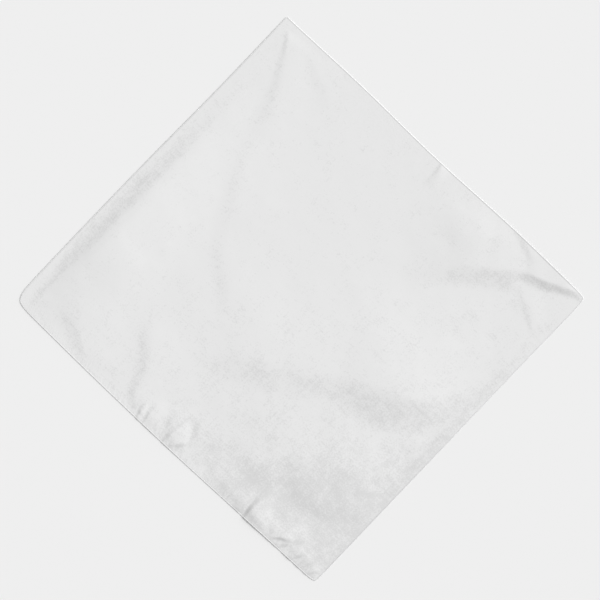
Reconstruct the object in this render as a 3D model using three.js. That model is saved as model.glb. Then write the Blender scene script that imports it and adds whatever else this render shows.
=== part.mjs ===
// A square cotton bandana laid open on a table with one corner up, like a diamond. It is one layer
// of thin cloth with a narrow rolled hem. Low swells stand where the cloth does not lie flat, and
// short tucks run in from the sides where the thread of the hem has drawn the cloth together.
// Millimetres, +X to the right, +Y towards the top corner, +Z up. The origin is on the table, under
// the middle of the cloth.
import * as THREE from "three";

const { clamp, lerp, smoothstep } = THREE.MathUtils;

// The cloth and its hem
const SIDE = 549;
const CLOTH_THICKNESS = 1;
const HEM_WIDTH = 3.5;
const HEM_THICKNESS = 1.8;
const HEM_DROP = 1.2; // width over which the roll of the hem comes down to the cloth
const HEM_LINES = 2; // the cells' two outermost lines lie on the hem

// The tip of each corner, and how far along its two sides the corner is rounded
const CORNERS = {
  left: { x: -388.5, y: -4.5, rounding: 7 },
  top: { x: -18.6, y: 388.5, rounding: 1.5 },
  right: { x: 388.5, y: 1, rounding: 4 },
  bottom: { x: 17.3, y: -388.5, rounding: 4 },
};

// How far each side bows out from the straight line between its corners, at five even places
const SIDES = {
  lowerLeft: { from: "left", to: "bottom", bow: [3.9, 5.9, 6.2, 5.7, 3.6] },
  upperRight: { from: "top", to: "right", bow: [0, 1, -0.8, 2.5, 1.6] },
  upperLeft: { from: "left", to: "top", bow: [6.9, 8.1, 6.9, 3.4, 2.6] },
  lowerRight: { from: "bottom", to: "right", bow: [2, 2.3, 2.4, 2.1, 1.6] },
};

// Cells of the cloth, finer where the swells and tucks are: across counts from the upper left side
// to the lower right one, and up from the lower left side to the upper right one
const CELLS_ACROSS = [
  { until: 70, cells: 8 },
  { until: 350, cells: 17 },
  { until: SIDE - HEM_WIDTH - HEM_DROP, cells: 21 },
];
const CELLS_UP = [
  { until: 80, cells: 9 },
  { until: 430, cells: 22 },
  { until: SIDE - HEM_WIDTH - HEM_DROP, cells: 12 },
];

// Folds. Each follows a line through its knots. To the right of that line, as one walks along it,
// the cloth rises over the width of the slope and then sinks back to the table over the back.
// A knot gives x, y, the rise there and the width of the slope. The hem holds a fold down to the
// share of its height that "hem" gives, or else to HELD_AT_HEM, and lets it go over a share of the
// width of its back.
const HELD_AT_HEM = 0.15;
const LET_GO = 0.35;
const STEPS_TO_KNOT = 6;
const FOLDS = {
  upperLeftSwell: {
    back: 120,
    knots: [
      [-392, -28, 0, 14], [-359, 10, 1.6, 18], [-339, 34, 3.4, 23], [-306, 71, 4.8, 30],
      [-283, 97, 5.4, 34], [-262, 120, 5, 31], [-228, 152, 5.2, 32], [-196, 182, 4.6, 34],
      [-171, 210, 3.2, 30], [-148, 235, 1.7, 27], [-100, 282, 0, 22],
    ],
  },
  topCrease: {
    back: 60,
    knots: [
      [-70, 226, 0, 24], [-53, 258, 0.5, 20], [-37, 299, 0.6, 16], [-24, 354, 0.4, 14], [-20, 372, 0, 14],
    ],
  },
  topCreaseTail: {
    back: 70,
    knots: [
      [-112, -47, 0, 20], [-111, 12, 0.4, 20], [-119, 51, 0.5, 20], [-114, 87, 0.4, 20],
      [-103, 129, 0.5, 20], [-93, 164, 0.5, 20], [-83, 194, 0.4, 20], [-59, 249, 0, 20],
    ],
  },
  rightCrease: {
    back: 170,
    hem: 1,
    knots: [
      [390, 0, 0.2, 14], [378, 5, 1.3, 14], [364, 9, 1.7, 14], [350, 13, 1.7, 15], [334, 18, 1.6, 15],
      [316, 26, 1.6, 16], [300, 31, 1.3, 16], [282, 33, 0.7, 17], [250, 32, 0, 18],
    ],
  },
  rightCreaseTail: {
    back: 150,
    hem: 0.8,
    knots: [
      [306, 16, 0, 18], [288, 21, 0.9, 22], [264, 27, 1.7, 28], [240, 30, 1.9, 30],
      [216, 31, 1.6, 30], [190, 30, 0.8, 28], [140, 27, 0, 24],
    ],
  },
  rightShoulder: {
    back: 60,
    knots: [[305, 83, 0, 16], [275, 76, 0.4, 16], [245, 68, 0.5, 16], [213, 76, 0.4, 16], [160, 100, 0, 16]],
  },
  middleSwellLeft: {
    back: 120,
    knots: [
      [54, -120, 0, 30], [10, -124, 0.6, 34], [-21, -120, 1, 36], [-53, -111, 1.1, 36],
      [-83, -100, 0.9, 34], [-118, -90, 0.4, 30], [-170, -80, 0, 26],
    ],
  },
  middleSwellRight: {
    back: 120,
    knots: [
      [262, -122, 0, 24], [214, -145, 1.2, 26], [178, -160, 2.4, 30], [150, -166, 3.1, 34],
      [124, -164, 3, 38], [96, -155, 2.5, 40], [66, -143, 1.7, 38], [30, -132, 0.8, 34], [-20, -122, 0, 26],
    ],
  },
  lowerSwell: {
    back: 230,
    knots: [
      [200, -292, 0, 60], [130, -286, 1.4, 72], [90, -282, 2.1, 80], [50, -276, 2.4, 84],
      [12, -270, 2.5, 82], [-24, -262, 2.4, 72], [-60, -254, 2, 58], [-92, -248, 1.1, 46],
      [-150, -238, 0, 40],
    ],
  },
  lowerSwellArm: {
    back: 90,
    knots: [[120, -296, 0, 18], [66, -299, 1.1, 24], [41, -297, 1.1, 22], [-26, -284, 0, 18]],
  },
  mainTuck: {
    back: 56,
    knots: [[-92, -310, 2, 10], [-75, -293, 2.7, 10], [-57, -276, 1.6, 12], [-26, -257, 0, 18]],
  },
  secondTuck: {
    back: 26,
    knots: [[6, -336, 0, 12], [-17, -333, 0.6, 10], [-30, -329, 1, 10], [-46, -333, 0.9, 10]],
  },
  bottomSwell: {
    back: 60,
    knots: [[60, -352, 0, 16], [26, -360, 0.5, 16], [4, -366, 0.5, 12], [-12, -370, 0.2, 10]],
  },
  leftEdgeStreak: {
    back: 60,
    knots: [
      [-290, -112, 0, 14], [-306, -78, 0.4, 16], [-314, -51, 0.6, 18], [-322, -29, 0.5, 16],
      [-330, 0, 0, 14],
    ],
  },
  leftStreak: {
    back: 54,
    knots: [
      [-222, -166, 0, 12], [-236, -130, 0.7, 14], [-228, -112, 0.7, 14], [-221, -91, 0.7, 16],
      [-216, -64, 0.5, 16], [-212, -16, 0, 16],
    ],
  },
  leftHook: {
    back: 40,
    knots: [[-192, -198, 0.9, 10], [-181, -184, 1.2, 10], [-170, -173, 0.8, 10], [-156, -162, 0, 12]],
  },
  lowerLeftLift: {
    back: 60,
    knots: [[-78, -304, 0.5, 18], [-96, -287, 1, 18], [-122, -262, 0.8, 18], [-168, -216, 0, 18]],
  },
  lowerRightRidge: {
    back: 24,
    knots: [
      [90, -301, 0, 14], [160, -227, 0.9, 16], [216, -169, 1.2, 16], [271, -110, 0.9, 14],
      [322, -57, 0, 14],
    ],
  },
  upperRightTuck: {
    back: 16,
    knots: [[168, 159, 0, 10], [179, 169, 0.4, 10], [186, 177, 0.7, 10], [192, 185, 0.6, 10]],
  },
};

// A side as a function of the share of the way along it
function makeSide({ from, to, bow }) {
  const first = CORNERS[from];
  const last = CORNERS[to];
  const start = new THREE.Vector2(first.x, first.y);
  const run = new THREE.Vector2(last.x, last.y).sub(start);
  const length = run.length();
  const outward = new THREE.Vector2(run.y, -run.x).normalize();
  if (outward.dot(start.clone().addScaledVector(run, 0.5)) < 0) outward.negate();
  const bowCurve = new THREE.SplineCurve(bow.map((depth, i) => new THREE.Vector2(i, depth)));
  return (share) => {
    const roundedFirst = 1 - Math.exp((-share * length) / first.rounding);
    const roundedLast = 1 - Math.exp((-(1 - share) * length) / last.rounding);
    const depth = bowCurve.getPoint(share).y * roundedFirst * roundedLast;
    return start.clone().addScaledVector(run, share).addScaledVector(outward, depth);
  };
}

const lowerLeft = makeSide(SIDES.lowerLeft);
const upperRight = makeSide(SIDES.upperRight);
const upperLeft = makeSide(SIDES.upperLeft);
const lowerRight = makeSide(SIDES.lowerRight);

// Where a place on the square lies on the table: the sides are blended into one another
function onTable(across, up) {
  const betweenLowAndHigh = lowerLeft(across).lerp(upperRight(across), up);
  const betweenLeftAndRight = upperLeft(up).lerp(lowerRight(up), across);
  const betweenCorners = lowerLeft(0).lerp(lowerLeft(1), across);
  betweenCorners.lerp(upperRight(0).lerp(upperRight(1), across), up);
  return betweenLowAndHigh.add(betweenLeftAndRight).sub(betweenCorners);
}

// The line of a fold as steps, each with how far it has come along the line's chord, how far it
// bows out to the right of the chord, and the rise and slope there
function foldSteps(knots) {
  const places = new THREE.SplineCurve(knots.map(([x, y]) => new THREE.Vector2(x, y)));
  const shapes = new THREE.SplineCurve(knots.map(([, , rise, slope]) => new THREE.Vector2(rise, slope)));
  const count = (knots.length - 1) * STEPS_TO_KNOT;
  const start = places.getPoint(0);
  const forward = places.getPoint(1).sub(start).normalize();
  const right = new THREE.Vector2(forward.y, -forward.x);
  const steps = places.getPoints(count).map((place, i) => {
    const away = place.sub(start);
    const shape = shapes.getPoint(i / count);
    return { reached: away.dot(forward), bowed: away.dot(right), rise: Math.max(shape.x, 0), slope: shape.y };
  });
  return { start, forward, right, steps };
}

// A fold as a function of a point on the table and of how far inside the edge it lies
function makeFold({ back, hem = HELD_AT_HEM, knots }) {
  const { start, forward, right, steps } = foldSteps(knots);
  return (point, inward) => {
    const away = point.clone().sub(start);
    const along = clamp(away.dot(forward), 0, steps.at(-1).reached);
    const next = Math.max(1, steps.findIndex(({ reached }) => reached >= along));
    const last = steps[next - 1];
    const run = steps[next].reached - last.reached;
    const share = (along - last.reached) / run;
    const slant = (steps[next].bowed - last.bowed) / run;
    const across = (away.dot(right) - lerp(last.bowed, steps[next].bowed, share)) / Math.hypot(1, slant);
    const rise = lerp(last.rise, steps[next].rise, share);
    const half = lerp(last.slope, steps[next].slope, share) / 2;
    const upSlope = smoothstep(across, -half, half);
    const stillUp = 1 - smoothstep(across, half, half + back);
    const held = lerp(hem, 1, smoothstep(inward, 0, LET_GO * back));
    return rise * upSlope * stillUp * held;
  };
}

const folds = Object.values(FOLDS).map(makeFold);

// Height of the cloth's underside over the table
function lift(point, inward) {
  return folds.reduce((height, fold) => height + fold(point, inward), 0);
}

// The places of the cells' lines, as shares of a side: both hems, and the zones between them
function cellLines(zones) {
  const hemInside = HEM_WIDTH + HEM_DROP;
  const lines = [0, HEM_WIDTH, hemInside];
  let reached = hemInside;
  for (const { until, cells } of zones) {
    for (let i = 1; i <= cells; i += 1) {
      lines.push(lerp(reached, until, i / cells));
    }
    reached = until;
  }
  lines.push(SIDE - HEM_WIDTH, SIDE);
  return lines.map((line) => line / SIDE);
}

// The cloth: a thin box of one layer whose cells are laid on the table and lifted into the folds
function makeCloth() {
  const across = cellLines(CELLS_ACROSS);
  const up = cellLines(CELLS_UP);
  const lastAcross = across.length - 1;
  const lastUp = up.length - 1;
  const geometry = new THREE.BoxGeometry(1, 1, 1, lastAcross, lastUp, 1);
  const places = geometry.getAttribute("position");
  for (let i = 0; i < places.count; i += 1) {
    const column = Math.round((places.getX(i) + 0.5) * lastAcross);
    const row = Math.round((places.getY(i) + 0.5) * lastUp);
    const point = onTable(across[column], up[row]);
    const inward = SIDE * Math.min(across[column], up[row], 1 - across[column], 1 - up[row]);
    const linesToEdge = Math.min(column, row, lastAcross - column, lastUp - row);
    const thickness = linesToEdge < HEM_LINES ? HEM_THICKNESS : CLOTH_THICKNESS;
    const above = places.getZ(i) > 0 ? thickness : 0;
    places.setXYZ(i, point.x, point.y, lift(point, inward) + above);
  }
  geometry.computeVertexNormals();
  return geometry;
}

const whiteCotton = new THREE.MeshStandardMaterial({
  name: "white cotton",
  color: 0xe9e9e9,
  roughness: 0.92,
  metalness: 0,
});

const bandana = new THREE.Group();
bandana.name = "bandana";

const cloth = new THREE.Mesh(makeCloth(), whiteCotton);
cloth.name = "bandana_cloth";
bandana.add(cloth);

export default bandana;
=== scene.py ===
"""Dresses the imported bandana: woven cotton with soft swells and tucks, and its hand-rolled hem."""
import math

import bmesh
import bpy
import numpy as np
from bpy.props import FloatProperty, FloatVectorProperty, IntProperty, PointerProperty
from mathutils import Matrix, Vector, noise


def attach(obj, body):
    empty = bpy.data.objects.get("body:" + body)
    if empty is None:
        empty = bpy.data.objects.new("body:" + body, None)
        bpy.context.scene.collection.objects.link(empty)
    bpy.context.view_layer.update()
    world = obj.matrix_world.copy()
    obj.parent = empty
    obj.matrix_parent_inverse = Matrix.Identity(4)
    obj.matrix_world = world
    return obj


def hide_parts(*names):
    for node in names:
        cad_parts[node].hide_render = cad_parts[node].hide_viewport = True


bl_info = {
    "name": "Square bandana laid open",
    "version": (1, 0, 0),
    "blender": (4, 5, 0),
    "location": "View3D > Sidebar > Bandana",
    "description": "Makes a hemmed cotton bandana that lies open on a table",
    "category": "Add Mesh",
}

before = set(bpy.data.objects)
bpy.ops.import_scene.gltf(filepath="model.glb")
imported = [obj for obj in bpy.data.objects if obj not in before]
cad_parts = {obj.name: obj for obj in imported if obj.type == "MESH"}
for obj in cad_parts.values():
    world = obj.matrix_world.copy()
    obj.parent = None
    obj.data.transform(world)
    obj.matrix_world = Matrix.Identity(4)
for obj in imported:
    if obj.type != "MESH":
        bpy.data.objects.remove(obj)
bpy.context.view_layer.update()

CLOTH_NODE = "bandana_cloth"
BODY = "root"

# The tables below hold millimetres, as the maker's sketch does, and Blender holds metres
MM = 0.001

# Mean length of the four sides
SIDE = 549.0

# The tip of each corner, and how far along its two sides the corner is rounded
CORNERS = {
    "left": {"tip": (-388.5, -4.5), "rounding": 7.0},
    "top": {"tip": (-18.6, 388.5), "rounding": 1.5},
    "right": {"tip": (388.5, 1.0), "rounding": 6.0},
    "bottom": {"tip": (17.3, -388.5), "rounding": 4.0},
}

# How far each side bows out from the straight line between its corners, at five even places
SIDES = {
    "lower_left": {"ends": ("left", "bottom"), "bow": (3.8, 6.2, 6.7, 4.6, 2.5)},
    "upper_right": {"ends": ("top", "right"), "bow": (-0.8, 1.0, -0.6, 2.5, 1.8)},
    "upper_left": {"ends": ("left", "top"), "bow": (8.6, 8.2, 6.5, 3.4, 2.8)},
    "lower_right": {"ends": ("bottom", "right"), "bow": (2.3, 2.2, 2.2, 2.1, 2.8)},
}

# Folds. Each follows a line through its knots. To the right of that line, as one walks along it,
# the cloth rises over the width of the slope and then sinks back to the table over the back.
# A knot gives x, y, the rise there and the width of the slope. The hem holds a fold down to the
# share of its height that "hem" gives, or else to HELD_AT_HEM, and lets go of it over the share
# LET_GO of its back.
HELD_AT_HEM = 0.15
LET_GO = 0.35
FOLDS = {
    "upper left swell": {
        "back": 120,
        "knots": (
            (-392, -28, 0.0, 10), (-359, 10, 0.8, 11), (-339, 34, 1.8, 15), (-306, 71, 3.2, 23),
            (-283, 97, 3.8, 28), (-262, 120, 3.7, 28), (-228, 152, 3.3, 27), (-203, 176, 2.6, 27),
            (-180, 198, 2.1, 23), (-158, 221, 1.5, 24), (-130, 250, 0.8, 24), (-80, 302, 0.0, 22),
        ),
    },
    "top crease": {
        "back": 60,
        "knots": (
            (-70, 226, 0.0, 24), (-53, 258, 0.5, 20), (-45, 278, 0.6, 15), (-37, 299, 0.6, 11),
            (-30, 327, 0.5, 8), (-24, 354, 0.4, 6), (-20, 372, 0.0, 5),
        ),
    },
    "top crease, tail": {
        "back": 90,
        "knots": (
            (-112, -47, 0.0, 20), (-111, 12, 0.3, 18), (-119, 51, 0.35, 18), (-114, 87, 0.25, 20),
            (-103, 129, 0.4, 20), (-93, 164, 0.4, 18), (-83, 194, 0.35, 20), (-70, 226, 0.2, 20),
            (-59, 249, 0.0, 20),
        ),
    },
    "top crease, right": {
        "back": 50,
        "knots": ((44, 230, 0.0, 20), (24, 288, 0.2, 18), (13, 316, 0.2, 14), (3, 343, 0.0, 10)),
    },
    "right crease": {
        "back": 170,
        "hem": 1.0,
        "knots": (
            (390, 0, 0.0, 12), (378, 5, 0.9, 11), (364, 9, 1.6, 12), (350, 13, 1.7, 13), (334, 18, 1.6, 14),
            (316, 26, 1.5, 15), (300, 31, 1.2, 15), (282, 33, 0.7, 16), (250, 32, 0.0, 18),
        ),
    },
    "right crease, tail": {
        "back": 150,
        "hem": 0.8,
        "knots": (
            (306, 16, 0.0, 18), (288, 21, 0.8, 22), (264, 27, 1.4, 28), (240, 30, 1.6, 30),
            (216, 31, 1.3, 30), (190, 30, 0.7, 28), (140, 27, 0.0, 24),
        ),
    },
    "right shoulder": {
        "back": 100,
        "knots": (
            (305, 86, 0.0, 18), (275, 78, 0.3, 22), (245, 72, 0.35, 26), (213, 78, 0.35, 26),
            (190, 90, 0.2, 22), (160, 100, 0.0, 18),
        ),
    },
    "middle swell, left": {
        "back": 120,
        "knots": (
            (54, -120, 0.0, 32), (10, -122, 0.6, 38), (-21, -118, 0.9, 42), (-53, -109, 1.0, 42),
            (-83, -99, 0.8, 38), (-118, -90, 0.4, 32), (-170, -80, 0.0, 26),
        ),
    },
    "middle swell, right": {
        "back": 170,
        "knots": (
            (262, -122, 0.0, 24), (214, -145, 0.9, 30), (178, -158, 1.8, 38), (150, -161, 2.4, 46),
            (124, -158, 2.4, 52), (96, -149, 2.1, 54), (66, -138, 1.5, 48), (30, -130, 0.8, 40),
            (-20, -122, 0.0, 30),
        ),
    },
    "lower swell": {
        "back": 230,
        "knots": (
            (210, -288, 0.0, 60), (140, -286, 0.8, 76), (96, -282, 1.25, 84), (52, -276, 1.45, 88),
            (12, -270, 1.5, 84), (-24, -262, 1.5, 72), (-60, -254, 1.3, 58), (-92, -248, 0.8, 46),
            (-150, -238, 0.0, 40),
        ),
    },
    "lower swell, arm": {
        "back": 110,
        "knots": (
            (130, -296, 0.0, 18), (98, -298, 0.5, 24), (66, -299, 0.8, 28), (36, -297, 0.8, 26),
            (10, -290, 0.5, 22), (-30, -284, 0.0, 18),
        ),
    },
    "main tuck": {
        "back": 44,
        "hem": 0.45,
        "knots": (
            (-92, -310, 0.8, 4.5), (-84, -302, 1.4, 5), (-75, -293, 1.8, 5.5), (-66, -284, 1.7, 6),
            (-57, -276, 1.2, 7.5), (-46, -267, 0.6, 10), (-30, -258, 0.0, 16),
        ),
    },
    "main tuck, lip": {
        "back": 16,
        "knots": (
            (-51, -262, 0.0, 8), (-64, -273, 0.3, 6), (-73, -281, 0.4, 5), (-81, -289, 0.4, 5),
            (-90, -297, 0.2, 5),
        ),
    },
    "second tuck": {
        "back": 24,
        "hem": 0.7,
        "knots": (
            (6, -336, 0.0, 9), (-17, -333, 0.4, 5), (-30, -329, 0.6, 4), (-39, -329, 0.6, 3.5),
            (-46, -333, 0.4, 3.5),
        ),
    },
    "third tuck": {
        "back": 16,
        "hem": 0.7,
        "knots": ((-10, -340, 0.0, 7), (-23, -338, 0.35, 4), (-34, -341, 0.35, 3.5)),
    },
    "fourth tuck": {
        "back": 18,
        "hem": 0.7,
        "knots": ((8, -353, 0.0, 7), (-6, -355, 0.5, 4), (-18, -360, 0.5, 3.5)),
    },
    "fifth tuck": {
        "back": 14,
        "hem": 0.7,
        "knots": ((18, -364, 0.0, 7), (8, -367, 0.45, 4), (-5, -372, 0.45, 3.5)),
    },
    "sixth tuck": {
        "back": 12,
        "hem": 0.7,
        "knots": ((26, -376, 0.0, 7), (17, -378, 0.35, 4), (6, -381, 0.35, 3.5)),
    },
    "bottom swell": {
        "back": 60,
        "knots": ((60, -352, 0.0, 16), (26, -360, 0.3, 16), (4, -366, 0.3, 12), (-12, -370, 0.1, 8)),
    },
    "left edge streak": {
        "back": 70,
        "knots": (
            (-290, -112, 0.0, 12), (-306, -78, 0.35, 15), (-314, -51, 0.45, 17), (-322, -29, 0.35, 16),
            (-330, 0, 0.0, 14),
        ),
    },
    "left streak": {
        "back": 70,
        "knots": (
            (-222, -166, 0.0, 10), (-234, -146, 0.4, 10), (-236, -130, 0.5, 12), (-228, -112, 0.55, 14),
            (-221, -91, 0.6, 16), (-216, -64, 0.45, 16), (-212, -16, 0.0, 16),
        ),
    },
    "left hook": {
        "back": 50,
        "hem": 0.3,
        "knots": (
            (-152, -196, 0.0, 7), (-161, -201, 0.35, 6), (-173, -203, 0.45, 5.5), (-186, -204, 0.4, 5),
        ),
    },
    "left hook, side": {
        "back": 50,
        "knots": (
            (-158, -204, 0.0, 6), (-150, -193, 0.35, 6), (-146, -180, 0.45, 8), (-148, -170, 0.3, 9),
            (-152, -158, 0.0, 10),
        ),
    },
    "left hook, inner": {
        "back": 50,
        "hem": 0.3,
        "knots": (
            (-192, -198, 0.5, 4.5), (-181, -184, 0.6, 6.5), (-170, -173, 0.4, 9), (-156, -162, 0.0, 10),
        ),
    },
    "left hook, upper": {
        "back": 40,
        "knots": (
            (-190, -188, 0.0, 8), (-184, -176, 0.35, 9), (-181, -164, 0.35, 10), (-176, -146, 0.0, 10),
        ),
    },
    "left tuck": {
        "back": 36,
        "hem": 0.4,
        "knots": ((-219, -168, 0.5, 5), (-213, -159, 0.6, 5), (-208, -152, 0.4, 6), (-197, -140, 0.0, 8)),
    },
    "left tuck, small": {
        "back": 10,
        "hem": 0.6,
        "knots": ((-226, -158, 0.5, 4), (-223, -153, 0.7, 5), (-215, -145, 0.0, 6)),
    },
    "lower left lift": {
        "back": 60,
        "knots": ((-76, -306, 0.4, 18), (-89, -293, 0.8, 18), (-106, -277, 0.7, 18), (-140, -244, 0.0, 18)),
    },
    "lower right ridge": {
        "back": 50,
        "knots": (
            (90, -301, 0.0, 14), (160, -227, 0.4, 17), (216, -169, 0.6, 17), (271, -110, 0.4, 16),
            (322, -57, 0.0, 14),
        ),
    },
    "upper right tuck": {
        "back": 16,
        "hem": 0.7,
        "knots": ((168, 159, 0.0, 6), (179, 169, 0.4, 5), (186, 177, 0.7, 4.5), (192, 185, 0.6, 4)),
    },
    "right branch": {
        "back": 30,
        "knots": (
            (320, -56, 0.0, 6), (313, -36, 0.25, 6), (307, -13, 0.38, 6), (302, 2, 0.3, 6),
            (298, 20, 0.0, 6),
        ),
    },
    "right shoulder tuck": {
        "back": 30,
        "hem": 0.8,
        "knots": ((318, 48, 0.0, 8), (311, 63, 0.3, 9), (302, 82, 0.4, 9)),
    },
}

# How much the hem's thread draws each side together: the height of the small gathers, how far
# they reach into the cloth, and how far apart they stand. They fade out within CORNER_REACH of a
# corner, and come in patches of about PATCH_SIZE. Each side's noise has the next seed.
GATHERS = {
    "lower_left": {"height": 0.8, "reach": 8.0, "pitch": 5.0},
    "upper_right": {"height": 0.2, "reach": 6.0, "pitch": 6.0},
    "upper_left": {"height": 0.2, "reach": 6.0, "pitch": 6.0},
    "lower_right": {"height": 0.3, "reach": 7.0, "pitch": 6.0},
}
GATHER_SEED = 11.0
CORNER_REACH = 60.0
PATCH_SIZE = 70.0
PATCH_SEED = 31.0

# Soft noise in the cloth: the size of its waves, and its seed
NOISE = {
    "wander x": (60.0, 3.0),
    "wander y": (60.0, 5.0),
    "waver x": (13.0, 7.0),
    "waver y": (13.0, 9.0),
    "crumple": (34.0, 13.0),
    "fine crumple": (15.0, 15.0),
}

# How far below the middle of the cloth its painted shade begins and is full, and how far below it the cloth
# begins to lie slack and does so fully. Slack cloth crumples more and takes painted shade too
CREASED_AND_SHADED_BELOW = (-60, 60)
SLACK_BELOW = (100, 330)

# Where the thread holds the cloth smooth beside the lower left hem, with shallower fine creases and less
# painted shade: how far inside the hem this ends, and where it begins as a share of the way to the bottom
# corner
HELD_SMOOTH = (6, 34)
LOWER_HALF = (0.5, 0.7)

# What each of these adds to how creased the cloth is. This deepens its fine creases and darkens its colour
# with painted shade in specks, so the fold slopes are darker, and below the middle and where slack the
# cloth is darker towards the bottom corner
CREASES_AND_SHADE = {"in folds": 0.5, "creases and shade below the middle": 0.14, "slack and shaded": 0.52, "beside the hem": -0.2}

# The rolled hem, as bends of the cloth's right side from its top round the edge and in again: how
# far inside the edge each bend lies, and how high over the table. Its raw edge lies in the roll.
# ROLL_TOP lists the bends on top, which take the roll's painted shade, and the thread winds round the
# middle that ROLL_INSET and ROLL_HEIGHT give.
HEM_BENDS = (
    (2.6, 0.22),
    (2.0, 0.22),
    (1.5, 0.24),
    (1.1, 0.27),
    (0.74, 0.29),
    (0.22, 0.285),
    (0.05, 0.2),
    (0.0, 0.12),
    (0.12, 0.03),
    (0.7, 0.0),
    (1.3, 0.01),
    (1.5, 0.08),
)
ROLL_TOP = (1, 2, 3, 4, 5)
ROLL_INSET = 0.74
ROLL_HEIGHT = 0.145

# The cells of the cloth are split once this near to any side, and once more this near to the lower
# left side, which is gathered most
FINE_WITHIN = 30.0
FINEST_WITHIN = 14.0

# Half the floor's width, how far the camera sees, what it looks at and where the lamp stands, in metres
FLOOR_HALF = 20.0
FAR_AWAY = 60.0
PICTURE_CENTRE = (-0.0027, -0.0017)
LAMP_DISTANCE = 3.0


def smooth(value, low, high):
    """Goes softly from 0 to 1 as the value goes from low to high."""
    share = np.clip((value - low) / (high - low), 0.0, 1.0)
    return share * share * (3.0 - 2.0 * share)


def through(knots, share):
    """Points of a smooth line through evenly spaced knots, at shares of the way along it."""
    knots = np.asarray(knots, float)
    last = len(knots) - 1
    place = np.clip(np.asarray(share, float), 0.0, 1.0) * last
    first = np.minimum(place.astype(int), last - 1)
    t = place - first
    before, here, there, after = (
        knots[np.clip(first + step, 0, last)] for step in (-1, 0, 1, 2)
    )
    if knots.ndim > 1:
        t = t[:, None]
    leaving = (there - before) / 2
    arriving = (after - here) / 2
    cubic = 2 * here - 2 * there + leaving + arriving
    square = -3 * here + 3 * there - 2 * leaving - arriving
    return ((cubic * t + square) * t + leaving) * t + here


def side_points(name, share):
    """Points of one side of the cloth, in millimetres on the table."""
    first, last = (CORNERS[corner] for corner in SIDES[name]["ends"])
    start = np.array(first["tip"])
    run = np.array(last["tip"]) - start
    length = math.hypot(*run)
    outward = np.array((run[1], -run[0])) / length
    if outward @ (start + run / 2) < 0:
        outward = -outward
    from_first = 1 - np.exp(-share * length / first["rounding"])
    from_last = 1 - np.exp(-(1 - share) * length / last["rounding"])
    bow = through(SIDES[name]["bow"], share) * from_first * from_last
    return start + share[:, None] * run + bow[:, None] * outward


def on_table(across, up):
    """Where places on the square lie on the table: its sides are blended into one another."""
    left, top, right, bottom = (
        np.array(CORNERS[name]["tip"]) for name in ("left", "top", "right", "bottom")
    )
    a, u = across[:, None], up[:, None]
    low_to_high = side_points("lower_left", across) * (1 - u) + side_points("upper_right", across) * u
    left_to_right = side_points("upper_left", up) * (1 - a) + side_points("lower_right", up) * a
    corners = (left * (1 - a) + bottom * a) * (1 - u) + (top * (1 - a) + right * a) * u
    return low_to_high + left_to_right - corners


def noise_at(points, size, seed):
    """Soft noise from about -1 to 1, with waves of about the given size in millimetres."""
    return np.array([noise.noise(Vector((x / size, y / size, seed))) for x, y in points])


def beside_line(line, points):
    """Where points lie beside a line: how many of its steps along it, and how far to its right.

    The line is taken as it lies over its chord, so that a bend in it opens no fan of cloth.
    """
    chord = line[-1] - line[0]
    forward = chord / math.hypot(*chord)
    right = np.array((forward[1], -forward[0]))
    reached, bowed = (line - line[0]) @ forward, (line - line[0]) @ right
    along = (points - line[0]) @ forward
    slant = np.interp(along, reached, np.gradient(bowed, reached))
    across = ((points - line[0]) @ right - np.interp(along, reached, bowed)) / np.hypot(1, slant)
    return np.interp(along, reached, np.arange(len(line))), across


def place_in_fold(fold, points, steps_to_knot=12):
    """A fold's rise and slope beside points, and how far right of its line they lie."""
    knots = np.array(fold["knots"], float)
    steps = (len(knots) - 1) * steps_to_knot
    line = through(knots[:, :2], np.linspace(0, 1, steps + 1))
    along, across = beside_line(line, points)
    rise, slope = through(knots[:, 2:], along / steps).T
    return np.maximum(rise, 0.0), slope, across


def fold_height(fold, points, inward, foot=1.3):
    """Height of one fold at points on the table, in millimetres. The foot says how soft it starts."""
    rise, slope, across = place_in_fold(fold, points)
    climbed = np.clip(across / slope + 0.5, 0.0, 1.0)
    rising = (smooth(climbed, 0.0, 1.0) + climbed**foot) / 2
    still_up = 1 - smooth(across, slope / 2, slope / 2 + fold["back"])
    at_hem = fold.get("hem", HELD_AT_HEM)
    held = at_hem + (1 - at_hem) * smooth(inward, 0.0, fold["back"] * LET_GO)
    return rise * rising * still_up * held


def slope_crease_and_shade(fold, points, full=0.04, middle=0.2, end=0.75):
    """How creased the cloth is on the slope of one fold, from 0 to 1. This share also gives the slope
    painted shade.

    The slope is creased in full near its middle, and past its end not at all.
    """
    rise, slope, across = place_in_fold(fold, points)
    on_slope = 1 - smooth(np.abs(across / slope), middle, end)
    return (1 - np.exp(-rise / slope / full)) * on_slope


def gather_height(across, up, drawn_out=0.3, between_patches=0.1, patch_edge=(-0.35, 0.45)):
    """Height of the small gathers beside the hems, in millimetres."""
    beside = {
        "lower_left": (up, across),
        "upper_right": (1 - up, across),
        "upper_left": (across, up),
        "lower_right": (1 - across, up),
    }
    total = np.zeros(len(across))
    for number, (name, gather) in enumerate(GATHERS.items()):
        inward, along = (share * SIDE for share in beside[name])
        fading = np.exp(-inward / gather["reach"]) * smooth(inward, -1.0, 6.0)
        spot = np.stack([along, inward * drawn_out], axis=1)
        ripple = 0.5 - 2 * np.abs(noise_at(spot, gather["pitch"], GATHER_SEED + number))
        patch = smooth(noise_at(spot, PATCH_SIZE, PATCH_SEED + number), *patch_edge)
        inside_corners = smooth(np.minimum(along, SIDE - along), 0.0, CORNER_REACH)
        strength = between_patches + (1 - between_patches) * patch
        total += gather["height"] * fading * ripple * inside_corners * strength
    return total


def slackness(points):
    """How loosely the cloth lies: 0 in its upper half, almost 1 near the bottom corner. It sets how much
    the cloth crumples, and part of its painted shade.
    """
    return smooth(-points[:, 1], *SLACK_BELOW)


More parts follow.
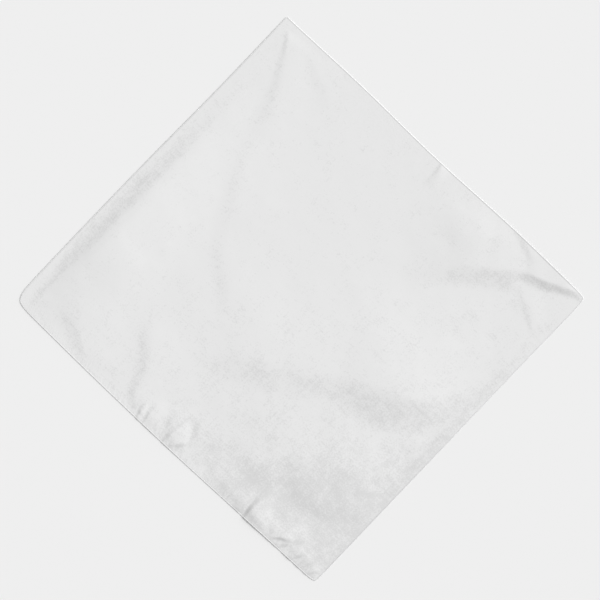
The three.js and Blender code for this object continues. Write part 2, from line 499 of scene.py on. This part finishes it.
def strayed(points, sizes, waver_share=0.25):
    """The points, moved as far as the folds there stray from their lines."""
    wander, waver = (
        np.stack([noise_at(points, *NOISE[name + axis]) for axis in (" x", " y")], axis=1)
        for name in ("wander", "waver")
    )
    return points + sizes.wander / MM * (wander + waver_share * waver)


def crease_and_shade_share(across, up, sizes):
    """How creased the cloth is, from 0 to 1: in its folds, below its middle and where it is slack. The
    cotton's colour takes painted shade from this share, so the fold slopes and the lower half look darker.
    The thread holds it smoother, with less painted shade, beside the hem, on the lower half of the lower
    left side.
    """
    points = on_table(across, up)
    bent = strayed(points, sizes)
    in_folds = np.max([slope_crease_and_shade(fold, bent) for fold in FOLDS.values()], axis=0)
    shares = {
        "in folds": in_folds,
        "creases and shade below the middle": smooth(-points[:, 1], *CREASED_AND_SHADED_BELOW),
        "slack and shaded": slackness(points),
        "beside the hem": (1 - smooth(up * SIDE, *HELD_SMOOTH)) * smooth(across, *LOWER_HALF),
    }
    total = sum(CREASES_AND_SHADE[where] * share for where, share in shares.items())
    return np.clip(total, 0.0, 1.0)


def painted_roll_shade_share(points, bend):
    """How much painted shade the top of the hem's roll takes, from 0 to 1. It is painted darkest on the
    upper left side and, beside the bottom corner, on the lower right. Each part begins and is full at
    places on the table, in millimetres.
    """
    x, y = points.T
    upper_left = smooth(y - x, 300, 380) * smooth(-x, 0, 40)
    upper_right = smooth(x, -20, 20) * smooth(y, -10, 30) * (0.2 + 0.5 * smooth(x, 150, 350))
    bottom = smooth(-y, 120, 300) * (0.4 + 0.6 * smooth(x, 15, 45))
    return np.isin(bend, ROLL_TOP) * np.clip(upper_left + upper_right + bottom, 0.0, 1.0)


def inside_edge(across, up):
    """How far inside the nearest side a place on the square lies, in millimetres."""
    return np.minimum.reduce([across, up, 1 - across, 1 - up]) * SIDE


def cloth_height(across, up, sizes, taut=0.25, at_hem=0.2, hem_reach=24, fine_share=0.45, ease=0.01):
    """Height of the cloth's underside over the table, in millimetres.

    Its crumple is less where the cloth is taut and at the hem. It eases down to the table softly.
    """
    points = on_table(across, up)
    inward = inside_edge(across, up)
    bent = strayed(points, sizes)
    height = sum(fold_height(fold, bent, inward) for fold in FOLDS.values())
    loose = taut + (1 - taut) * slackness(points)
    free = at_hem + (1 - at_hem) * smooth(inward, 0, hem_reach)
    crumple = sizes.crumple / MM * loose * free
    height += crumple * noise_at(points, *NOISE["crumple"])
    height += fine_share * crumple * noise_at(points, *NOISE["fine crumple"])
    height += gather_height(across, up)
    return (height + np.sqrt(height * height + ease)) / 2


def split_cells(flat, is_near):
    """Splits each cell whose middle is near, as the test says, in four."""
    near = [face for face in flat.faces if is_near(face.calc_center_median() * SIDE)]
    edges = {edge for face in near for edge in face.edges}
    bmesh.ops.subdivide_edges(flat, edges=list(edges), cuts=1, use_grid_fill=True)


def place_points(mesh, points):
    """Puts the points of a mesh at these places, in metres."""
    mesh.vertices.foreach_set("co", np.asarray(points, np.float32).ravel())
    mesh.update()


def add_object(name, data):
    """A new object of the scene with this data, at the origin."""
    made = bpy.data.objects.new(name, data)
    bpy.context.scene.collection.objects.link(made)
    return made


def add_piece(name, data, material):
    """A piece of the bandana: it rides on the frame's one body and has the cotton's slot."""
    piece = add_object(name, data)
    piece.data.materials.clear()
    piece.data.materials.append(material)
    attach(piece, BODY)
    return piece


def thread_mesh(name, points, radius):
    """The mesh of a closed thread through the points. The curve that draws it is not kept."""
    curve = bpy.data.curves.new(name, "CURVE")
    curve.dimensions = "3D"
    curve.bevel_depth = radius
    curve.bevel_resolution = 0
    spline = curve.splines.new("POLY")
    spline.points.add(len(points) - 1)
    spline.points.foreach_set("co", np.column_stack([points, np.ones(len(points))]).ravel())
    spline.use_cyclic_u = True
    drawn = add_object(name, curve)
    bpy.context.view_layer.update()
    shown = drawn.evaluated_get(bpy.context.evaluated_depsgraph_get())
    mesh = bpy.data.meshes.new_from_object(shown)
    bpy.data.objects.remove(drawn)
    mesh.name = name
    mesh.shade_smooth()
    return mesh


# Shader helpers


def socket_value(tree, socket, value):
    """Gives a socket a number or colour, or links it to another node's output."""
    if isinstance(value, bpy.types.NodeSocket):
        tree.links.new(value, socket)
    else:
        socket.default_value = value


def add_node(tree, kind, inputs=(), **settings):
    """A node of the kind, with its settings and with values or links for its inputs."""
    node = tree.nodes.new(kind)
    for name, value in settings.items():
        setattr(node, name, value)
    for key, value in dict(inputs).items():
        socket_value(tree, node.inputs[key], value)
    return node


def maths(tree, operation, *values):
    """The output of one sum of numbers or sockets."""
    return add_node(tree, "ShaderNodeMath", enumerate(values), operation=operation).outputs[0]


def soft_noise(tree, vector, scale, detail=2.0):
    """Noise from 0 to 1 at a vector, with so many waves to a metre."""
    inputs = {"Vector": vector, "Scale": scale, "Detail": detail}
    return add_node(tree, "ShaderNodeTexNoise", inputs).outputs["Fac"]


def stretched(tree, vector, along, across):
    """A vector whose first two parts are scaled one by one, so that noise on it is drawn out."""
    node = add_node(tree, "ShaderNodeMapping", {"Vector": vector, "Scale": (along, across, 1.0)})
    return node.outputs["Vector"]


def new_group(name, inputs, outputs):
    """An empty shader group with float inputs (a vector if its default is None) and outputs."""
    tree = bpy.data.node_groups.new(name, "ShaderNodeTree")
    for label, default in inputs.items():
        kind = "NodeSocketVector" if default is None else "NodeSocketFloat"
        socket = tree.interface.new_socket(label, in_out="INPUT", socket_type=kind)
        if default is not None:
            socket.default_value = default
    for label in outputs:
        tree.interface.new_socket(label, in_out="OUTPUT", socket_type="NodeSocketFloat")
    return tree, tree.nodes.new("NodeGroupInput").outputs, tree.nodes.new("NodeGroupOutput").inputs


def plain_weave_group(slub_length=40.0, slub_width=1100.0):
    """Plain weave on a UV map in metres: each thread passes over one and under the next.

    The slub, which makes the threads uneven, has so many waves to a metre along and across them.
    """
    tree, given, made = new_group(
        "Plain weave", {"Vector": None, "Threads": 2500.0, "Slub": 0.2}, ("Height", "Shade")
    )
    slub_along = soft_noise(tree, stretched(tree, given["Vector"], slub_length, slub_width), 1.0)
    slub_across = soft_noise(tree, stretched(tree, given["Vector"], slub_width, slub_length), 1.0)
    slubs = maths(tree, "ADD", slub_along, slub_across)
    parts = add_node(tree, "ShaderNodeSeparateXYZ", {0: given["Vector"]}).outputs
    u = maths(tree, "MULTIPLY", parts["X"], given["Threads"])
    v = maths(tree, "MULTIPLY", parts["Y"], given["Threads"])

    def thread(own, other, turn):
        """Height of the threads that lie side by side along own and run along other."""
        rounded = maths(tree, "ABSOLUTE", maths(tree, "SINE", maths(tree, "MULTIPLY", own, math.pi)))
        count = maths(tree, "ADD", maths(tree, "FLOOR", own), turn)
        wave = maths(tree, "ADD", maths(tree, "SUBTRACT", other, 0.5), count)
        crossing = maths(tree, "COSINE", maths(tree, "MULTIPLY", wave, math.pi))
        over = maths(tree, "MULTIPLY_ADD", crossing, 0.5, 0.5)
        return maths(tree, "MULTIPLY", rounded, over)

    weave = maths(tree, "MAXIMUM", thread(u, v, 0.0), thread(v, u, 1.0))
    slub = maths(tree, "MULTIPLY", slubs, given["Slub"])
    socket_value(tree, made["Height"], maths(tree, "ADD", weave, slub))
    socket_value(tree, made["Shade"], maths(tree, "MULTIPLY", slubs, 0.5))
    return tree


def washed_cotton_group(broad_waves=14.0, fine_waves=420.0):
    """Soft changes of shade that washing and handling leave on cotton, with their waves to a metre."""
    tree, given, made = new_group("Washed cotton", {"Vector": None, "Grain": 0.5}, ("Shade",))
    broad = soft_noise(tree, given["Vector"], broad_waves, detail=3.0)
    fine = soft_noise(tree, given["Vector"], fine_waves, detail=3.0)
    grain = maths(tree, "MULTIPLY", fine, given["Grain"])
    rest = maths(tree, "MULTIPLY", broad, maths(tree, "SUBTRACT", 1.0, given["Grain"]))
    socket_value(tree, made["Shade"], maths(tree, "ADD", grain, rest))
    return tree


def creases_and_painted_shade_group(fine_waves=430.0, broad_waves=32.0, streak_length=60.0, streak_width=190.0):
    """Fine unevenness of cotton where the cloth is creased, and shade painted into its colour there in
    specks.

    Each kind of noise has its waves to a metre. Even smooth cloth keeps a little of the height, and the
    painted shade begins and is full where the noise is this dense.
    """
    smooth_depth = 0.15
    shade_begins, shade_full = 1.36, 1.74
    tree, given, made = new_group(
        "Fine creases and painted shade", {"Vector": None, "Creased": 0.5}, ("Height", "Shade")
    )
    fine = soft_noise(tree, given["Vector"], fine_waves, detail=3.0)
    drawn_along = stretched(tree, given["Vector"], streak_length, streak_width)
    drawn_across = stretched(tree, given["Vector"], streak_width, streak_length)
    along = soft_noise(tree, drawn_along, 1.0, detail=3.0)
    across = soft_noise(tree, drawn_across, 1.0, detail=3.0)
    broad = soft_noise(tree, given["Vector"], broad_waves)
    streaks = maths(tree, "MULTIPLY", maths(tree, "ADD", along, across), 0.5)
    both = maths(tree, "ADD", streaks, maths(tree, "MULTIPLY", fine, 0.5))
    depth = maths(tree, "ADD", given["Creased"], smooth_depth)
    socket_value(tree, made["Height"], maths(tree, "MULTIPLY", both, depth))
    patches = maths(tree, "ADD", streaks, maths(tree, "MULTIPLY", broad, 0.5))
    speck = maths(tree, "ADD", fine, patches)
    dense = maths(tree, "ADD", speck, maths(tree, "MULTIPLY", given["Creased"], 0.5))
    shade = add_node(
        tree, "ShaderNodeMapRange",
        {"Value": dense, "From Min": shade_begins, "From Max": shade_full}, clamp=True,
    )
    socket_value(tree, made["Shade"], shade.outputs[0])
    return tree


def thread_twist_group(fuzz_waves=2600.0):
    """The slanting grooves between the plies of a sewing thread, with a little fuzz."""
    tree, given, made = new_group("Thread twist", {"Vector": None, "Turns": 1500.0}, ("Height",))
    parts = add_node(tree, "ShaderNodeSeparateXYZ", {0: given["Vector"]}).outputs
    slant = maths(tree, "ADD", maths(tree, "ADD", parts["X"], parts["Y"]), parts["Z"])
    wave = maths(tree, "SINE", maths(tree, "MULTIPLY", slant, given["Turns"]))
    fuzz = soft_noise(tree, given["Vector"], fuzz_waves, detail=1.0)
    socket_value(tree, made["Height"], maths(tree, "ADD", wave, fuzz))
    return tree


def use_group(tree, group, inputs):
    """Places a shader group in a material, with values or links for its inputs."""
    node = tree.nodes.new("ShaderNodeGroup")
    node.node_tree = group
    for key, value in inputs.items():
        socket_value(tree, node.inputs[key], value)
    return node.outputs


def blend_of(tree, share, low, high):
    """A colour between two others."""
    node = add_node(tree, "ShaderNodeMix", data_type="RGBA")
    socket_value(tree, node.inputs[0], share)
    socket_value(tree, node.inputs[6], low)
    socket_value(tree, node.inputs[7], high)
    return node.outputs[2]


def new_material(name, roughness, sheen):
    """A dull material that scatters light at its fibres, with its nodes and its shader."""
    material = bpy.data.materials.new(name)
    material.use_nodes = True
    shader = material.node_tree.nodes["Principled BSDF"]
    shader.inputs["Roughness"].default_value = roughness
    shader.inputs["Specular IOR Level"].default_value = 0.25
    shader.inputs["Sheen Weight"].default_value = sheen
    shader.inputs["Sheen Roughness"].default_value = 0.6
    return material, material.node_tree, shader


def darker(colour, share):
    """The colour, with a share of its light taken away."""
    return tuple(part * (1 - share) for part in colour[:3]) + (1.0,)


def woven_cotton(finish, washed_dark=0.02, painted_crease_shade=0.14, painted_roll_shade=0.14):
    """The cloth: plain woven white cotton, on the cloth's own UV map, with painted shade on its fold
    slopes, towards the bottom and on top of the hem's roll.
    """
    material, tree, shader = new_material("woven cotton", roughness=0.9, sheen=0.08)
    uv = add_node(tree, "ShaderNodeTexCoord").outputs["UV"]
    creased = add_node(tree, "ShaderNodeAttribute", attribute_name="creased").outputs["Fac"]
    weave = use_group(
        tree, plain_weave_group(), {"Vector": uv, "Threads": 1 / finish.thread_pitch, "Slub": 0.25}
    )
    washed = use_group(tree, washed_cotton_group(), {"Vector": uv, "Grain": 0.45})["Shade"]
    creases = use_group(tree, creases_and_painted_shade_group(), {"Vector": uv, "Creased": creased})
    share = maths(tree, "MULTIPLY", maths(tree, "ADD", weave["Shade"], washed), 0.5)
    white = tuple(finish.cotton) + (1.0,)
    cotton = blend_of(tree, share, darker(white, washed_dark), white)
    # Painted shade: the colour darkens in specks where the cloth is creased, on fold slopes and towards the
    # bottom corner
    shaded = blend_of(tree, creases["Shade"], cotton, darker(white, painted_crease_shade))
    # Painted shade on top of the hem's roll
    rolled = add_node(tree, "ShaderNodeAttribute", attribute_name="rolled").outputs["Fac"]
    hemmed = blend_of(tree, rolled, shaded, darker(white, painted_roll_shade))
    socket_value(tree, shader.inputs["Base Color"], hemmed)
    soft = add_node(
        tree, "ShaderNodeBump",
        {"Height": creases["Height"], "Strength": 1.0, "Distance": finish.crease_height},
    )
    bump = add_node(
        tree, "ShaderNodeBump",
        {
            "Height": weave["Height"],
            "Strength": 0.3,
            "Distance": finish.thread_relief,
            "Normal": soft.outputs["Normal"],
        },
    )
    socket_value(tree, shader.inputs["Normal"], bump.outputs["Normal"])
    return material


def sewing_thread(finish, dark=0.08):
    """The white thread that holds the hem."""
    material, tree, shader = new_material("sewing thread", roughness=0.62, sheen=0.05)
    place = add_node(tree, "ShaderNodeTexCoord").outputs["Object"]
    washed = bpy.data.node_groups["Washed cotton"]
    shade = use_group(tree, washed, {"Vector": place, "Grain": 0.8})["Shade"]
    white = tuple(finish.thread) + (1.0,)
    colour = blend_of(tree, shade, darker(white, dark), white)
    socket_value(tree, shader.inputs["Base Color"], colour)
    plies = use_group(tree, thread_twist_group(), {"Vector": place, "Turns": 16000.0})["Height"]
    bump = add_node(
        tree, "ShaderNodeBump", {"Height": plies, "Strength": 0.4, "Distance": finish.thread_relief}
    )
    socket_value(tree, shader.inputs["Normal"], bump.outputs["Normal"])
    return material


# The roll of the hem


def roll_line(sizes, steps=500):
    """The closed middle line of the hem's roll, with its outward direction, in metres."""
    inset = ROLL_INSET / SIDE
    share = np.linspace(0, 1, steps, endpoint=False)
    low, high = np.zeros(steps), np.ones(steps)
    across = inset + np.concatenate([share, high, 1 - share, low]) * (1 - 2 * inset)
    up = inset + np.concatenate([low, share, high, 1 - share]) * (1 - 2 * inset)
    plan = on_table(across, up)
    height = cloth_height(across, up, sizes) + ROLL_HEIGHT
    forward = np.roll(plan, -1, axis=0) - np.roll(plan, 1, axis=0)
    forward /= np.hypot(*forward.T)[:, None]
    outward = np.column_stack([forward[:, 1], -forward[:, 0], np.zeros(len(plan))])
    return np.column_stack([plan, height]) * MM, outward


def evenly_along(line, pitch, count=None):
    """Places along a closed line at about this pitch, or this many of them, as its own steps."""
    gaps = np.linalg.norm(np.roll(line, -1, axis=0) - line, axis=1)
    walked = np.concatenate([[0.0], np.cumsum(gaps)])
    count = count or round(walked[-1] / pitch)
    wanted = np.arange(count) * walked[-1] / count
    return np.interp(wanted, walked, np.arange(len(walked)))


def at_place(values, place):
    """The value of a closed list between its entries."""
    first = np.floor(place).astype(int) % len(values)
    share = (place - np.floor(place))[:, None]
    return values[first] * (1 - share) + values[(first + 1) % len(values)] * share


# Sizes and finishes that a user may change


class ClothSizes(bpy.types.PropertyGroup):
    """Sizes of the cloth and its hem"""

    cells: IntProperty(name="Cells", description="Cells of cloth along a side", default=130)
    thickness: FloatProperty(
        name="Thickness", description="Thickness of the cotton", default=0.00022, unit="LENGTH"
    )
    wander: FloatProperty(
        name="Wander", description="How far the folds stray from their lines",
        default=0.0024, unit="LENGTH",
    )
    crumple: FloatProperty(
        name="Crumple", description="Height of the fine unevenness", default=0.0004, unit="LENGTH"
    )
    thread_turn: FloatProperty(
        name="Thread turn", description="Distance between two turns of the hem's thread",
        default=0.0011, unit="LENGTH",
    )
    thread_radius: FloatProperty(
        name="Thread radius", description="Radius of the hem's thread", default=0.00009, unit="LENGTH"
    )


class ClothFinish(bpy.types.PropertyGroup):
    """Colours and weave of the cotton"""

    cotton: FloatVectorProperty(
        name="Cotton", description="Colour of the cotton", subtype="COLOR", default=(0.80, 0.80, 0.80)
    )
    thread: FloatVectorProperty(
        name="Thread", description="Colour of the sewing thread",
        subtype="COLOR", default=(0.80, 0.80, 0.80),
    )
    crease_height: FloatProperty(
        name="Crease height", description="Height of the finest creases",
        default=0.00012, unit="LENGTH",
    )
    thread_pitch: FloatProperty(
        name="Thread pitch", description="Distance between two threads of the weave",
        default=0.0004, unit="LENGTH",
    )
    thread_relief: FloatProperty(
        name="Thread relief", description="Height of the grooves in the weave and in a thread",
        default=0.00006, unit="LENGTH",
    )


class StageSettings(bpy.types.PropertyGroup):
    """Floor, camera and lights"""

    view_width: FloatProperty(
        name="View width", description="Width of floor that the picture shows",
        default=0.8272, unit="LENGTH",
    )
    lens: FloatProperty(name="Lens", description="Focal length in millimetres", default=100.0)
    floor: FloatVectorProperty(
        name="Floor", description="Colour of the floor", subtype="COLOR", default=(0.86, 0.86, 0.86)
    )
    key_turn: FloatProperty(
        name="Key turn", description="Side that the key light is on, from +X",
        default=math.radians(28), unit="ROTATION",
    )
    key_rise: FloatProperty(
        name="Key rise", description="Height of the key light over the floor",
        default=math.radians(20), unit="ROTATION",
    )
    key_share: FloatProperty(
        name="Key share", description="Share of the floor's light that the key light gives", default=0.55
    )
    key_softness: FloatProperty(
        name="Key softness", description="How wide the key light looks from the floor",
        default=math.radians(44), unit="ROTATION",
    )


class BANDANA_OT_cloth(bpy.types.Operator):
    """Makes the woven cloth, with its swells, creases and tucks"""

    bl_idname = "bandana.make_cloth"
    bl_label = "Make the cloth"

    def execute(self, context):
        sizes = context.scene.bandana_sizes
        mesh = self.make_square(sizes)
        place = np.empty(len(mesh.vertices) * 3, np.float32)
        mesh.vertices.foreach_get("co", place)
        place = place.reshape(-1, 3).astype(float)
        share, bend = place[:, :2], np.rint(place[:, 2]).astype(int)
        inset, rise = (np.array(column)[bend] for column in zip(*HEM_BENDS))
        across, up = (inset[:, None] / SIDE + share * (1 - 2 * inset[:, None] / SIDE)).T
        points = on_table(across, up)

        height = cloth_height(across, up, sizes) + rise
        place_points(mesh, np.column_stack([points, height]) * MM)
        mesh.shade_smooth()
        self.unroll(mesh, share, bend)

        # The hem's roll is rolled too tightly to be creased, so it takes no painted crease shade
        self.mark(mesh, "creased", crease_and_shade_share(across, up, sizes) * (bend == 0))
        # Painted shade on the top of the hem's roll
        self.mark(mesh, "rolled", painted_roll_shade_share(points, bend))

        cloth = add_piece("woven_cloth", mesh, woven_cotton(context.scene.bandana_finish))
        wall = cloth.modifiers.new("thickness", "SOLIDIFY")
        wall.thickness = sizes.thickness
        wall.offset = -1.0
        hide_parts(CLOTH_NODE)
        return {"FINISHED"}

    def mark(self, mesh, name, share):
        """Gives the mesh's points a share that the cotton's shading reads."""
        attribute = mesh.attributes.new(name, "FLOAT", "POINT")
        attribute.data.foreach_set("value", share.astype(np.float32))

    def make_square(self, sizes):
        """A unit square of cells, finer near the hems. Z counts the hem's bends round the edge."""
        flat = bmesh.new()
        bmesh.ops.create_grid(flat, x_segments=sizes.cells, y_segments=sizes.cells, size=0.5)
        bmesh.ops.translate(flat, verts=flat.verts, vec=(0.5, 0.5, 0.0))
        split_cells(flat, lambda at: min(at.x, at.y, SIDE - at.x, SIDE - at.y) < FINE_WITHIN)
        split_cells(flat, lambda at: at.y < FINEST_WITHIN)
        rim = [edge for edge in flat.edges if edge.is_boundary]
        for _ in HEM_BENDS[1:]:
            made = bmesh.ops.extrude_edge_only(flat, edges=rim)["geom"]
            turned_in = [part for part in made if isinstance(part, bmesh.types.BMVert)]
            bmesh.ops.translate(flat, verts=turned_in, vec=(0, 0, 1))
            rim = [part for part in made if isinstance(part, bmesh.types.BMEdge) and part.is_boundary]
        mesh = bpy.data.meshes.new("woven_cloth")
        flat.to_mesh(mesh)
        flat.free()
        return mesh

    def unroll(self, mesh, share, bend):
        """Gives the cloth a UV map in metres, on which the hem lies unrolled."""
        gaps = [math.dist(here, there) for here, there in zip(HEM_BENDS, HEM_BENDS[1:])]
        unrolled = np.concatenate([[0.0], np.cumsum(gaps)])[bend]
        flat = share * SIDE + np.trunc(2 * share - 1) * unrolled[:, None]
        corner_vertex = np.empty(len(mesh.loops), np.int32)
        mesh.loops.foreach_get("vertex_index", corner_vertex)
        layout = mesh.uv_layers.new(name="cloth")
        layout.data.foreach_set("uv", (flat * MM)[corner_vertex].astype(np.float32).ravel())


class BANDANA_OT_thread(bpy.types.Operator):
    """Winds the sewing thread round the rolled hem, all the way round the cloth"""

    bl_idname = "bandana.make_thread"
    bl_label = "Make the hem's thread"

    def execute(self, context):
        sizes = context.scene.bandana_sizes
        middle, outward = roll_line(sizes)
        turns = len(evenly_along(middle, sizes.thread_turn))
        turn_steps = 8
        place = evenly_along(middle, sizes.thread_turn, turns * turn_steps)
        angle = np.arange(len(place)) * 2 * math.pi / turn_steps

        # The thread bites into the side of the roll, and less than half of it stands out of the top
        bite = 0.02 * MM
        standing_out = 0.4 * sizes.thread_radius
        half_width = ROLL_INSET * MM - bite + standing_out
        half_height = ROLL_HEIGHT * MM + standing_out
        sideways = half_width * np.cos(angle)[:, None] * at_place(outward, place)
        points = at_place(middle, place) + sideways
        lowest = points[:, 2] - ROLL_HEIGHT * MM + sizes.thread_radius
        points[:, 2] = np.maximum(points[:, 2] + half_height * np.sin(angle), lowest)

        mesh = thread_mesh("hem_thread", points, sizes.thread_radius)
        add_piece("hem_thread", mesh, sewing_thread(context.scene.bandana_finish))
        return {"FINISHED"}


class BANDANA_OT_stage(bpy.types.Operator):
    """Makes the pale floor, the camera straight above and the soft studio lights"""

    bl_idname = "bandana.make_stage"
    bl_label = "Make the stage"

    def execute(self, context):
        stage = context.scene.bandana_stage
        self.make_floor(stage)
        self.make_camera(context.scene, stage)
        self.make_lights(context.scene, stage)
        return {"FINISHED"}

    def make_floor(self, stage):
        """A pale floor, which ends far outside the picture."""
        flat = bmesh.new()
        bmesh.ops.create_grid(flat, x_segments=2, y_segments=2, size=FLOOR_HALF)
        mesh = bpy.data.meshes.new("floor")
        flat.to_mesh(mesh)
        flat.free()
        material, _, shader = new_material("pale floor", roughness=0.95, sheen=0.0)
        shader.inputs["Base Color"].default_value = tuple(stage.floor) + (1.0,)
        mesh.materials.append(material)
        add_object("floor", mesh)

    def make_camera(self, scene, stage):
        """A camera that looks straight down, from as high as the view's width needs."""
        camera = bpy.data.cameras.new("camera")
        camera.sensor_width = 36.0
        camera.lens = stage.lens
        camera.clip_end = FAR_AWAY
        above = add_object("camera", camera)
        above.location = (*PICTURE_CENTRE, stage.view_width * stage.lens / camera.sensor_width)
        scene.camera = above

    def make_lights(self, scene, stage):
        """Even white light from all round, and one broad key light from low on one side."""
        world = bpy.data.worlds.new("studio")
        world.use_nodes = True
        background = world.node_tree.nodes["Background"]
        background.inputs["Color"].default_value = (1.0, 1.0, 1.0, 1.0)
        background.inputs["Strength"].default_value = 1 - stage.key_share
        scene.world = world
        light = bpy.data.lights.new("key light", "SUN")
        light.angle = stage.key_softness
        light.energy = stage.key_share * math.pi / math.sin(stage.key_rise)
        lamp = add_object("key light", light)
        turn, rise = stage.key_turn, stage.key_rise
        level = math.cos(rise)
        towards = Vector((level * math.cos(turn), level * math.sin(turn), math.sin(rise)))
        lamp.location = towards * LAMP_DISTANCE
        lamp.rotation_mode = "QUATERNION"
        lamp.rotation_quaternion = (-towards).to_track_quat("-Z", "Y")
        scene.view_settings.view_transform = "Standard"


class BANDANA_PT_pieces(bpy.types.Panel):
    """Shows the bandana's settings and the buttons that make its parts"""

    bl_label = "Bandana"
    bl_idname = "BANDANA_PT_pieces"
    bl_space_type = "VIEW_3D"
    bl_region_type = "UI"
    bl_category = "Bandana"

    def draw(self, context):
        for settings in ("bandana_sizes", "bandana_finish", "bandana_stage"):
            group = getattr(context.scene, settings)
            box = self.layout.box()
            for name in group.__annotations__:
                box.prop(group, name)
        for operator in OPERATORS:
            self.layout.operator(operator.bl_idname)


SETTINGS = {
    "bandana_sizes": ClothSizes,
    "bandana_finish": ClothFinish,
    "bandana_stage": StageSettings,
}
OPERATORS = (BANDANA_OT_cloth, BANDANA_OT_thread, BANDANA_OT_stage)


def register():
    """Makes the settings, the operators and the panel known."""
    for made in (*SETTINGS.values(), *OPERATORS, BANDANA_PT_pieces):
        bpy.utils.register_class(made)
    for name, settings in SETTINGS.items():
        setattr(bpy.types.Scene, name, PointerProperty(type=settings))


def unregister():
    """Takes away what register adds."""
    for name in SETTINGS:
        delattr(bpy.types.Scene, name)
    for made in reversed((*SETTINGS.values(), *OPERATORS, BANDANA_PT_pieces)):
        bpy.utils.unregister_class(made)


def main():
    """Makes the settings known, then makes the stage and the bandana."""
    register()
    bpy.ops.bandana.make_stage()
    bpy.ops.bandana.make_cloth()
    bpy.ops.bandana.make_thread()


if __name__ == "__main__":
    main()
